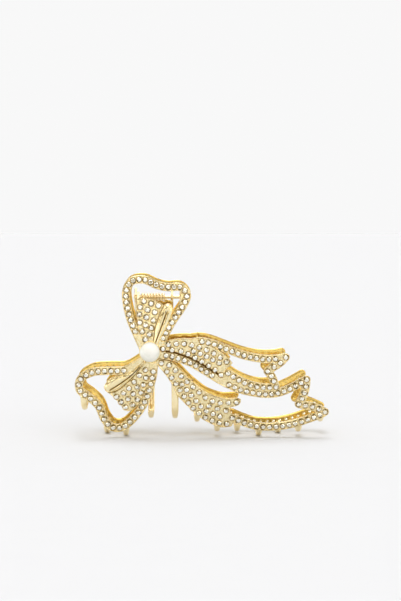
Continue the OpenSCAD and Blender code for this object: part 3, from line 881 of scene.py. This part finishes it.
def ramp(tree, value, stops, interpolation="LINEAR"):
    """Colours read off a ramp, whose stops are (place, colour)."""
    n = node(tree, "ShaderNodeValToRGB", {"Fac": value})
    n.color_ramp.interpolation = interpolation
    while len(n.color_ramp.elements) < len(stops):
        n.color_ramp.elements.new(1.0)
    for e, (at, colour) in zip(n.color_ramp.elements, stops):
        e.position = at
        e.color = (*colour, 1)
    return n.outputs["Color"]


def mix(tree, factor, a, b, blend="MIX"):
    """The colours a and b mixed: a where factor is 0."""
    values = {0: factor}
    for socket, colour in ((6, a), (7, b)):
        values[socket] = (*colour, 1) if isinstance(colour, tuple) else colour
    return node(tree, "ShaderNodeMix", values, data_type="RGBA", blend_type=blend).outputs[2]


def noise(tree, scale, detail=3.0, roughness=0.5, distortion=0.0):
    where = node(tree, "ShaderNodeTexCoord").outputs["Object"]
    n = node(tree, "ShaderNodeTexNoise", {"Vector": where, "Scale": scale, "Detail": detail,
                                          "Roughness": roughness, "Distortion": distortion})
    return n.outputs["Fac"]


def bump(tree, height, distance, strength=1.0):
    """A normal for a shader, with relief distance metres deep."""
    inputs = {"Height": height, "Distance": distance, "Strength": strength}
    return node(tree, "ShaderNodeBump", inputs).outputs["Normal"]


def span(tree, value, low, high):
    """Value from 0..1 stretched to low..high."""
    n = node(tree, "ShaderNodeMapRange", {"Value": value, "To Min": low, "To Max": high})
    return n.outputs["Result"]


def plated_gold(name, base, deep, dark, rough=(0.08, 0.2)):
    """Polished pale plating: warmer in thin patches, with painted shade that makes it browner in deep
    corners, round the seats and along rims and slits, a painted shadow in the seam, a painted deeper gold on
    the faces between the jaws, and faint cast waviness."""
    m, tree, shader = material(name)
    signed = node(tree, "ShaderNodeAttribute", attribute_name="shade").outputs["Fac"]
    shade = maths(tree, "MAXIMUM", signed, 0.0)
    inner = maths(tree, "MAXIMUM", maths(tree, "MULTIPLY", signed, -1.0), 0.0)
    # Painted shadow in the seam, where shade is above 1
    seam = clamped(tree, maths(tree, "SUBTRACT", shade, 1.0))
    patches = ramp(tree, noise(tree, 420.0, 4.0, 0.6), [(0.35, BLACK), (0.7, WHITE)])
    # Painted reflection: deeper gold on the faces between the jaws
    colour = mix(tree, inner, mix(tree, patches, base, deep), mix(tree, patches, *INTERREFLECTED_GOLD))
    # Painted shade, browner in deep corners and broken into arcs by noise, with dark specks that are also
    # sunk in the relief, only where painted shade lies
    corner = maths(tree, "POWER", shade, 1.3)
    pits = ramp(tree, noise(tree, 1700.0, 2.0, 0.6), [(0.5, BLACK), (0.6, WHITE)])
    pits = maths(tree, "MULTIPLY", pits, maths(tree, "MINIMUM", maths(tree, "MULTIPLY", shade, 4.0), 0.45))
    arcs = ramp(tree, noise(tree, 800.0, 2.0, 0.6), [(0.4, (0.3, 0.3, 0.3)), (0.6, WHITE)])
    painted_shade_and_specks = maths(tree, "MULTIPLY", corner, arcs)
    painted_shade_and_specks = maths(tree, "MINIMUM", maths(tree, "ADD", painted_shade_and_specks, pits), 1.0)
    rub = span(tree, noise(tree, 2600.0, 5.0, 0.65), *rough)
    relief = mix(tree, 0.15, noise(tree, 700.0, 2.0), noise(tree, 3800.0, 3.0, 0.6))
    feed(tree, shader, {
        "Base Color": mix(tree, seam, mix(tree, painted_shade_and_specks, colour, dark), SEAM_SHADOW_BROWN),
        "Metallic": 1.0,
        "Roughness": maths(tree, "ADD", rub, maths(tree, "MULTIPLY", shade, 0.12)),
        "Normal": bump(tree, mix(tree, pits, relief, BLACK), 0.00006),
    })
    return m


def crystal():
    """Foil-backed cut glass under clear glass, with painted reflections: a mosaic of light and dark facets,
    lighter towards the centre, and a painted gold ring at the edge, dark in some stones and bright in others.
    """
    m, tree, shader = material("crystal")
    uv = node(tree, "ShaderNodeUVMap", uv_map="cut").outputs["UV"]
    axes = node(tree, "ShaderNodeSeparateXYZ", {"Vector": uv})
    x = maths(tree, "SUBTRACT", axes.outputs["X"], 0.5)
    y = maths(tree, "SUBTRACT", axes.outputs["Y"], 0.5)
    square = maths(tree, "ADD", maths(tree, "MULTIPLY", x, x), maths(tree, "MULTIPLY", y, y))
    away = maths(tree, "SQRT", square)
    turn = maths(tree, "DIVIDE", maths(tree, "ARCTAN2", y, x), 2 * math.pi)
    sector = maths(tree, "FLOOR", maths(tree, "MULTIPLY", turn, 8.0))
    tier = maths(tree, "FLOOR", maths(tree, "MULTIPLY", away, 6.0))
    seed = node(tree, "ShaderNodeAttribute", attribute_name="seed").outputs["Fac"]
    own = maths(tree, "MULTIPLY", seed, 97.0)
    cell = node(tree, "ShaderNodeCombineXYZ", {"X": sector, "Y": tier, "Z": own}).outputs[0]
    grain = node(tree, "ShaderNodeTexWhiteNoise", {"Vector": cell}, noise_dimensions="3D").outputs["Value"]
    # Painted reflections of the foil-backed facets: each facet's brightness, lighter towards the centre
    lit = maths(tree, "ADD", grain, maths(tree, "MULTIPLY_ADD", away, -0.5, 0.2))
    facet_reflections = ramp(tree, lit, [
        (0.0, (0.08, 0.05, 0.02)), (0.08, (0.34, 0.25, 0.1)), (0.18, (0.68, 0.58, 0.34)),
        (0.3, (0.96, 0.93, 0.79)), (0.45, (1.0, 1.0, 0.95)),
    ], "CONSTANT")
    edge = ramp(tree, away, [(0.39, BLACK), (0.44, WHITE)])
    # Painted ring at the stone's edge, from dark shade to bright gold glint
    rim = ramp(tree, grain, [
        (0.1, (0.24, 0.15, 0.03)), (0.4, (0.62, 0.46, 0.14)), (0.8, (0.95, 0.8, 0.44)),
    ])
    feed(tree, shader, {
        "Base Color": mix(tree, edge, facet_reflections, rim), "Metallic": 0.9,
        "Roughness": span(tree, grain, 0.16, 0.04),
        "Coat Weight": 0.3, "Coat Roughness": 0.02, "Coat IOR": 1.6,
    })
    return m


def pearl_nacre():
    """Imitation pearl: a thick lustrous lacquer with slow clouds of cream and grey-green under it."""
    m, tree, shader = material("nacre")
    clouds = ramp(tree, noise(tree, 260.0, 3.0, 0.5, 0.8), [
        (0.3, (0.79, 0.81, 0.74)), (0.5, (0.9, 0.9, 0.85)), (0.72, (0.88, 0.87, 0.82)),
    ])
    feed(tree, shader, {
        "Base Color": clouds, "Roughness": span(tree, noise(tree, 700.0, 2.0), 0.2, 0.3),
        "Subsurface Weight": 0.5, "Subsurface Radius": (0.003, 0.0028, 0.0026), "Subsurface Scale": 1.0,
        "Coat Weight": 0.8, "Coat Roughness": 0.06, "Sheen Weight": 0.9, "Sheen Roughness": 0.3,
        "Normal": bump(tree, noise(tree, 1800.0, 2.0), 0.00001, 0.5),
    })
    return m


gold = plated_gold("pale_gold", (0.985, 0.87, 0.56), (0.95, 0.79, 0.43), (0.4, 0.26, 0.05))
# Painted light: a slightly lighter, rougher copy of the plating, so the teeth look bright where they reflect
# the floor's shadow
lit_tooth_gold = plated_gold("lit_tooth_gold", (1.0, 0.87, 0.56), (0.96, 0.78, 0.42), (0.4, 0.28, 0.1), (0.18, 0.32))
# Painted light: a slightly paler copy of the plating, so the coil looks bright
lit_spring_gold = plated_gold("lit_spring_gold", (1.0, 0.88, 0.6), (0.94, 0.78, 0.46), (0.3, 0.2, 0.07), (0.16, 0.28))
glass = crystal()
nacre = pearl_nacre()


# The plates of one jaw

def shrunk(edges, by):
    """A closed outline moved inwards, to cut a neighbour that is tucked under its edge."""
    ring = closed(edges)
    q = offset(ring, by if area(ring) > 0 else -by)
    return q[distance_to(q, [ring]) > by * 0.9]


def beside_middle_tail(above):
    """The run of points that follows the middle tail's row, above it, along the fold."""
    p = curve(middle_tail_line)
    q = p + sideways(p) * above
    return q[(p[:, 0] > -15.5) & (p[:, 0] < 6)]


knot_core = circle(KNOT, KNOT_CORE_R)
under_upper_loop = band(upper_loop_line, NARROW)
under_left_loop = band(left_loop_line, NARROW)
crack = np.vstack([beside_middle_tail(1.42), beside_middle_tail(2.0)[::-1]])
# The upper tail's band comes out from under its fold between these two points of its centre line
TUCK_START, TUCK_END = 4, 6
upper_tail_run = curve(upper_tail_line)
upper_tail_root = band(upper_tail_run[:TUCK_END], steps=1)
upper_tail_bands = [
    band(upper_tail_run[TUCK_START:], BAND_W, True, 1), band(upper_tail_return_line, BAND_W, True),
    band(upper_tail_down_line),
]
middle_tail_bands = [
    band(middle_tail_line, BAND_W, True), band(middle_tail_upper_line), np.array(middle_tail_web),
]
lower_tail_bands = [
    band(lower_tail_down_line, BAND_W, True), band(lower_tail_out_line, BAND_W, True),
    band(lower_tail_back_line),
]
CREASE = dict(hidden=[knot_core], rise=-0.2, thick=CREASE_T, profile=DOME, spacing=0.36)
PLATES = {
    "upper_loop": dict(adds=[band(upper_loop_line)], hidden=[knot_core]),
    "upper_fold": dict(adds=[closed(upper_fold_edges)], rise=-0.3,
                       hidden=[knot_core, under_upper_loop, shrunk(upper_crease_edges, 0.35)]),
    "upper_crease": dict(adds=[closed(upper_crease_edges)], slit=curve(upper_slit), **CREASE),
    "left_loop": dict(adds=[band(left_loop_line)], hidden=[knot_core]),
    "left_fold": dict(adds=[closed(left_fold_edges)], rise=-0.3,
                      hidden=[knot_core, under_left_loop, shrunk(left_crease_edges, 0.35)]),
    "left_crease": dict(adds=[closed(left_crease_edges)], slit=curve(left_slit), **CREASE),
    "upper_tail": dict(adds=upper_tail_bands, hidden=[band(middle_tail_upper_line, NARROW)]),
    "upper_tail_fold": dict(adds=[closed(upper_tail_fold_edges), upper_tail_root], rise=0.25,
                            edges=[band(middle_tail_line, BAND_W), crack],
                            hidden=[knot_core, band(upper_tail_run[TUCK_END:], NARROW, steps=1),
                                    under_upper_loop]),
    "middle_tail": dict(adds=middle_tail_bands, edges=[crack], hidden=[knot_core]),
    "lower_tail": dict(adds=lower_tail_bands, hidden=[band(middle_tail_line, NARROW)]),
    "lower_tail_fold": dict(adds=[closed(lower_tail_fold_edges)], rise=0.1,
                            hidden=[knot_core, under_left_loop, band(lower_tail_back_line, NARROW)]),
}


# The other pieces

def knot_seat(build):
    """The knot's disc, and the dished seat and peg that hold the pearl."""
    disc = [(-PLATE_T, 3.9), (-PLATE_T + 0.1, 4.2), (-PLATE_T + 0.3, 4.35), (-0.25, 4.35), (-0.05, 4.25),
            (0.06, 4.0)]
    cup = [(0.08, 3.4), (0.5, 3.25), (1.05, 3.2), (1.3, 3.1), (1.22, 2.95), (0.6, 2.2), (0.1, 1.2),
           (0.0, 0.4)]
    # The disc's back looks between the jaws and gets the painted deeper gold
    shades = np.where(np.arange(len(disc + cup)) < 3, INNER, 0.0)
    lathe(build, disc + cup, (KNOT[0], float(face_y(KNOT[1], 0)), KNOT[1]), (0, -1, 0), 64, shades)


def pearl(build, name):
    """The bead on the knot's peg, as wide as its CAD node."""
    lo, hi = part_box(name)
    r = (hi.x - lo.x) / 2 / MM
    steps = 40
    profile = [(-r * math.cos(math.pi * k / steps), r * math.sin(math.pi * k / steps))
               for k in range(1, steps)]
    centre = (KNOT[0], float(face_y(KNOT[1], 0)) - PEARL_OUT, KNOT[1])
    lathe(build, profile, centre, (0, -1, 0), 72)


# Each ear's two faces, its foot's end, its web's lower and upper height, and its post's height
EARS = {
    "front_left_lug": [-26.4, -25.5, -24, 48, 54, 0],
    "front_right_lug": [-9.4, -8.5, -6.6, 52, 58, 0],
    "rear_left_lug": [-27.6, -26.6, -24.4, 47, 53, 3.8],
    "rear_right_lug": [-11.9, -12.9, -15, 46, 52, 3.8],
}


def ear(build, faces, foot_end, low, high, post):
    """An ear on its web and foot, drawn for the front jaw, with the pin's bore."""
    x0, x1 = min(faces), max(faces)
    web_y = float(face_y((low + high) / 2, -PLATE_T)) - 0.2
    web = [[web_y, low], [1.4, HINGE_Z - 1.7], [-1, HINGE_Z + 1.96], [web_y, high]]
    shapes = [circle((0, HINGE_Z), 2.2, 40), web]
    if post > 0:
        top = HINGE_Z + post
        shapes.append([[1.6, HINGE_Z + 1.5], [0.3, top], [-0.3, top], [-1.6, HINGE_Z + 1.5]])
    rounded_slab(build, shapes, ((x0 + x1) / 2, 0, 0), (0, 1, 0), (0, 0, 1), x1 - x0,
                 hole=(0.0, HINGE_Z, PIN_R + 0.05))
    a, b = min(x0, foot_end), max(x1, foot_end)
    foot = [[a, low], [b, low], [b, high], [a, high]]
    rounded_slab(build, [foot], (0, web_y - 0.2, 0), (1, 0, 0), (0, 0, 1), 0.9)


def hinge_pin(build):
    """The pin, riveted at both ends, as long as its CAD node."""
    lo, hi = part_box("hinge_pin")
    first, last, head = lo.x / MM, hi.x / MM, (hi.z - lo.z) / 2 / MM
    half = (last - first) / 2
    rivet = [(0, 0.5), (0.05, 0.75), (0.2, head * 0.97), (0.33, head * 0.93), (0.36, PIN_R)]
    profile = [(-half + d, r) for d, r in rivet] + [(half - d, r) for d, r in rivet[::-1]]
    lathe(build, profile, ((first + last) / 2, 0, HINGE_Z), (1, 0, 0), 40)


def spring(build):
    """One wire: the front leg, eight turns round the pin, and the rear leg."""
    wire, mid_r, turns, tilt, leg = 0.5, 1.25, 8, math.radians(10), 13.2
    leg_steps, turn_steps = 14, 26
    lo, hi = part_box("torsion_spring")
    first, last = lo.x / MM + wire, hi.x / MM - wire
    rear_lo, rear_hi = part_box("spring_rear_leg")
    rear_x = (rear_lo.x + rear_hi.x) / 2 / MM
    start = math.radians(270) - tilt
    sweep = turns * 2 * math.pi + tilt
    begin = np.array([first, mid_r * math.cos(start), HINGE_Z + mid_r * math.sin(start)])
    out = np.array([0, -math.cos(tilt), math.sin(tilt)])
    path = [begin + out * leg * (1 - k / leg_steps) for k in range(leg_steps)]
    coil_steps = turns * turn_steps
    for k in range(coil_steps + 1):
        a = start + sweep * k / coil_steps
        x = first + (last - first) * k / coil_steps
        path.append(np.array([x, mid_r * math.cos(a), HINGE_Z + mid_r * math.sin(a)]))
    for k in range(1, leg_steps + 1):
        x = last + (rear_x - last) * min(1.0, k / 3)
        path.append(np.array([x, leg * k / leg_steps, HINGE_Z - mid_r]))
    path = np.array(path)
    step = steps_along(path)
    side = np.cross(step, [1.0, 0, 0])
    side /= np.linalg.norm(side, axis=1)[:, None]
    thick = np.full(len(path), wire)
    thick[[0, -1]] *= 0.8
    ring_sweep(build, path, side, np.cross(side, step), thick, thick, power=2.0, sides=14)


def stone_groups():
    """The front jaw's stones by CAD group, as [x, z, rise], and the seats of each plate. A stone sits in
    the plate that it lies deepest in."""
    groups, spots = {}, []
    for part in PLATES:
        name = f"front_{part}_stones"
        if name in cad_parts:
            found = stone_centres(name)
            groups[part] = range(len(spots), len(spots) + len(found))
            spots += list(found)
    spots = np.array(spots)
    deepest, owner = np.full(len(spots), -1e9), np.full(len(spots), None, object)
    for part, spec in PLATES.items():
        if part.endswith("crease"):
            continue
        loops = outline(spec["adds"], list(spec.get("edges", ())) + list(spec["hidden"]))
        gap = distance_to(spots, loops)
        depth = np.where(region_test(spots, loops), gap, -gap)
        better = depth > deepest
        deepest[better], owner[better] = depth[better], part
    rises = [PLATES[part].get("rise", 0.0) for part in owner]
    stones = {part: [[*spots[i], rises[i]] for i in ids] for part, ids in groups.items()}
    seats = {part: (spots[owner == part], spots[owner != part]) for part in PLATES}
    return stones, seats


def seam_shadow_rod(build):
    """A dark rod under the crack between the upper tail's fold and the middle tail: a painted shadow, seen
    down the crack.
    """
    p = beside_middle_tail(1.7)
    centres = on_face(p, -0.85)
    over = np.tile([0, -1.0, 0], (len(p), 1))
    across = np.cross(steps_along(centres), over)
    half_w, half_t = np.full(len(p), 0.42), np.full(len(p), 0.3)
    ring_sweep(build, centres, across, over, half_w, half_t, sides=12, shade=SEAM_SHADOW)


crystals, seats = stone_groups()
castings = {}
for part, spec in PLATES.items():
    build = castings[part] = Build()
    mine, others = seats[part]
    plate(build, centres=mine, others=[] if part.endswith("crease") else others, **spec)
    if part == "upper_tail_fold":
        seam_shadow_rod(build)

for jaw, teeth, seed in (("front", front_teeth, 3), ("rear", rear_teeth, 7)):
    body = jaw + "_jaw"
    mirrored = jaw == "rear"
    rng = random.Random(seed)

    def add(name, draw, node_name, look, smooth_deg=35.0):
        """Draws one piece of this jaw and places it."""
        build = Build()
        draw(build)
        place(name, build.mesh(name, mirrored, smooth_deg), body, [node_name], look)

    for part in PLATES:
        name = f"{jaw}_{part}_casting"
        place(name, castings[part].mesh(name, mirrored), body, [f"{jaw}_{part}"], gold)
    for part, stones in crystals.items():
        name = f"{jaw}_{part}_crystals"
        mesh = stones_mesh(name, stones, mirrored, rng)
        place(name, mesh, body, [f"{jaw}_{part}_stones"], glass)
    add(f"{jaw}_knot_seat", knot_seat, f"{jaw}_knot_cup", gold)
    add(f"{jaw}_pearl_bead", lambda b: pearl(b, f"{jaw}_pearl"), f"{jaw}_pearl", nacre)
    for k, at in enumerate(teeth, 1):
        name = f"{jaw}_tooth_{k}"
        add(name + "_finger", lambda b: tooth(b, *at), name, lit_tooth_gold, 60)
    for side in ("left", "right"):
        name = f"{jaw}_{side}_lug"
        e = EARS[name]
        add(f"{jaw}_{side}_ear", lambda b: ear(b, e[:2], *e[2:]), name, gold)

build = Build()
hinge_pin(build)
rivet_mesh = build.mesh("hinge_pin_rivet")
place("hinge_pin_rivet", rivet_mesh, "front_jaw", ["hinge_pin"], lit_spring_gold)
build = Build()
spring(build)
wire_piece = place("spring_wire", build.mesh("spring_wire", smooth_deg=60), None,
                   ["torsion_spring", "spring_rear_leg"], lit_spring_gold)
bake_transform(wire_piece)


# Floor, light and camera

FLOOR_TONE = (0.6875, 0.705, 0.738)
BACKDROP = (0.94, 0.94, 0.94)
SOFTBOX = (1.1, 1.1, 1.1)
LOW_GAP = (0.16, 0.11, 0.035)
HIGH_GAP = (0.22, 0.165, 0.07)
NEAR_GAP = (0.18, 0.125, 0.04)
FAR_GAP = (0.22, 0.16, 0.05)


def floor():
    """A plain sheet just under the teeth."""
    m, tree, shader = material("paper_floor")
    tone = span(tree, noise(tree, 60.0, 4.0, 0.6), 0.985, 1.0)
    tint = mix(tree, tone, BLACK, FLOOR_TONE)
    feed(tree, shader, {"Base Color": tint, "Roughness": 1.0, "Specular IOR Level": 0.0})
    far = 6000.0
    corners = np.array([(-far, -far, 0), (far, -far, 0), (far, far, 0), (-far, far, 0)])
    mesh = new_mesh("floor", corners, [(0, 1, 2, 3)])
    mesh.materials.append(m)
    plane = bpy.data.objects.new("floor", mesh)
    plane.location.z = min(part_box(name)[0].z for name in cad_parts) - 0.00002
    bpy.context.scene.collection.objects.link(plane)


def studio():
    """An even pale studio of softboxes with dark gaps, dimmer behind the camera, plain to the camera."""
    world = bpy.data.worlds.new("studio")
    bpy.context.scene.world = world
    world.use_nodes = True
    tree = world.node_tree
    tree.nodes.clear()
    where = node(tree, "ShaderNodeTexCoord").outputs["Generated"]
    axes = node(tree, "ShaderNodeSeparateXYZ", {"Vector": where})
    level = ramp(tree, axes.outputs["Z"], [
        (0.0, (0.9, 0.89, 0.87)), (0.28, (1.05, 1.05, 1.04)), (0.33, LOW_GAP), (0.42, LOW_GAP),
        (0.47, SOFTBOX), (0.66, WHITE), (0.7, HIGH_GAP), (0.76, HIGH_GAP), (0.8, SOFTBOX),
    ])
    across = ramp(tree, maths(tree, "ABSOLUTE", axes.outputs["X"]), [
        (0.24, WHITE), (0.28, NEAR_GAP), (0.38, NEAR_GAP), (0.42, SOFTBOX), (0.6, SOFTBOX),
        (0.64, FAR_GAP), (0.72, FAR_GAP), (0.76, SOFTBOX),
    ])
    toward = ramp(tree, maths(tree, "MULTIPLY", axes.outputs["Y"], -1.0),
                  [(0.6, WHITE), (0.85, (0.95, 0.94, 0.9)), (1.0, (0.92, 0.9, 0.85))])
    light = mix(tree, 1.0, mix(tree, 1.0, level, across, "MULTIPLY"), toward, "MULTIPLY")
    light = mix(tree, 1.0, light, (1.47, 1.47, 1.48), "MULTIPLY")
    seen = node(tree, "ShaderNodeLightPath").outputs["Is Camera Ray"]
    colour = mix(tree, seen, light, BACKDROP)
    back = node(tree, "ShaderNodeBackground", {"Color": colour, "Strength": 1.0})
    node(tree, "ShaderNodeOutputWorld", {"Surface": back.outputs[0]})


def sun(name, energy, spread_deg, to):
    """A soft source so far away that it lights the floor evenly."""
    data = bpy.data.lights.new(name, "SUN")
    data.energy = energy
    data.angle = math.radians(spread_deg)
    lamp = bpy.data.objects.new(name, data)
    lamp.rotation_mode = "QUATERNION"
    lamp.rotation_quaternion = Vector(to).to_track_quat("-Z", "Y")
    bpy.context.scene.collection.objects.link(lamp)


def camera():
    """A camera 0.7 m away, a little above the clip and to its left, with a frame 0.24 m high at the
    front jaw."""
    frame_height, sensor = 0.2395, 36.0
    eye = Vector((-0.011, -0.714, 0.0916))
    aim = Vector((-0.00102, -0.014, 0.05532))
    data = bpy.data.cameras.new("camera")
    data.sensor_fit = "AUTO"
    data.sensor_width = sensor
    data.lens = sensor * (aim - eye).length / frame_height
    data.clip_start = 0.01
    data.clip_end = 50.0
    piece = bpy.data.objects.new("camera", data)
    piece.location = eye
    piece.rotation_mode = "QUATERNION"
    piece.rotation_quaternion = (aim - eye).to_track_quat("-Z", "Y")
    bpy.context.scene.collection.objects.link(piece)
    bpy.context.scene.camera = piece


floor()
studio()
sun("key", 0.95, 45, (0.1, -0.16, -1))
sun("fill", 0.3, 40, (-0.6, 0.6, -0.6))
camera()
bpy.context.scene.view_settings.view_transform = "Standard"
bpy.context.scene.view_settings.look = "None"
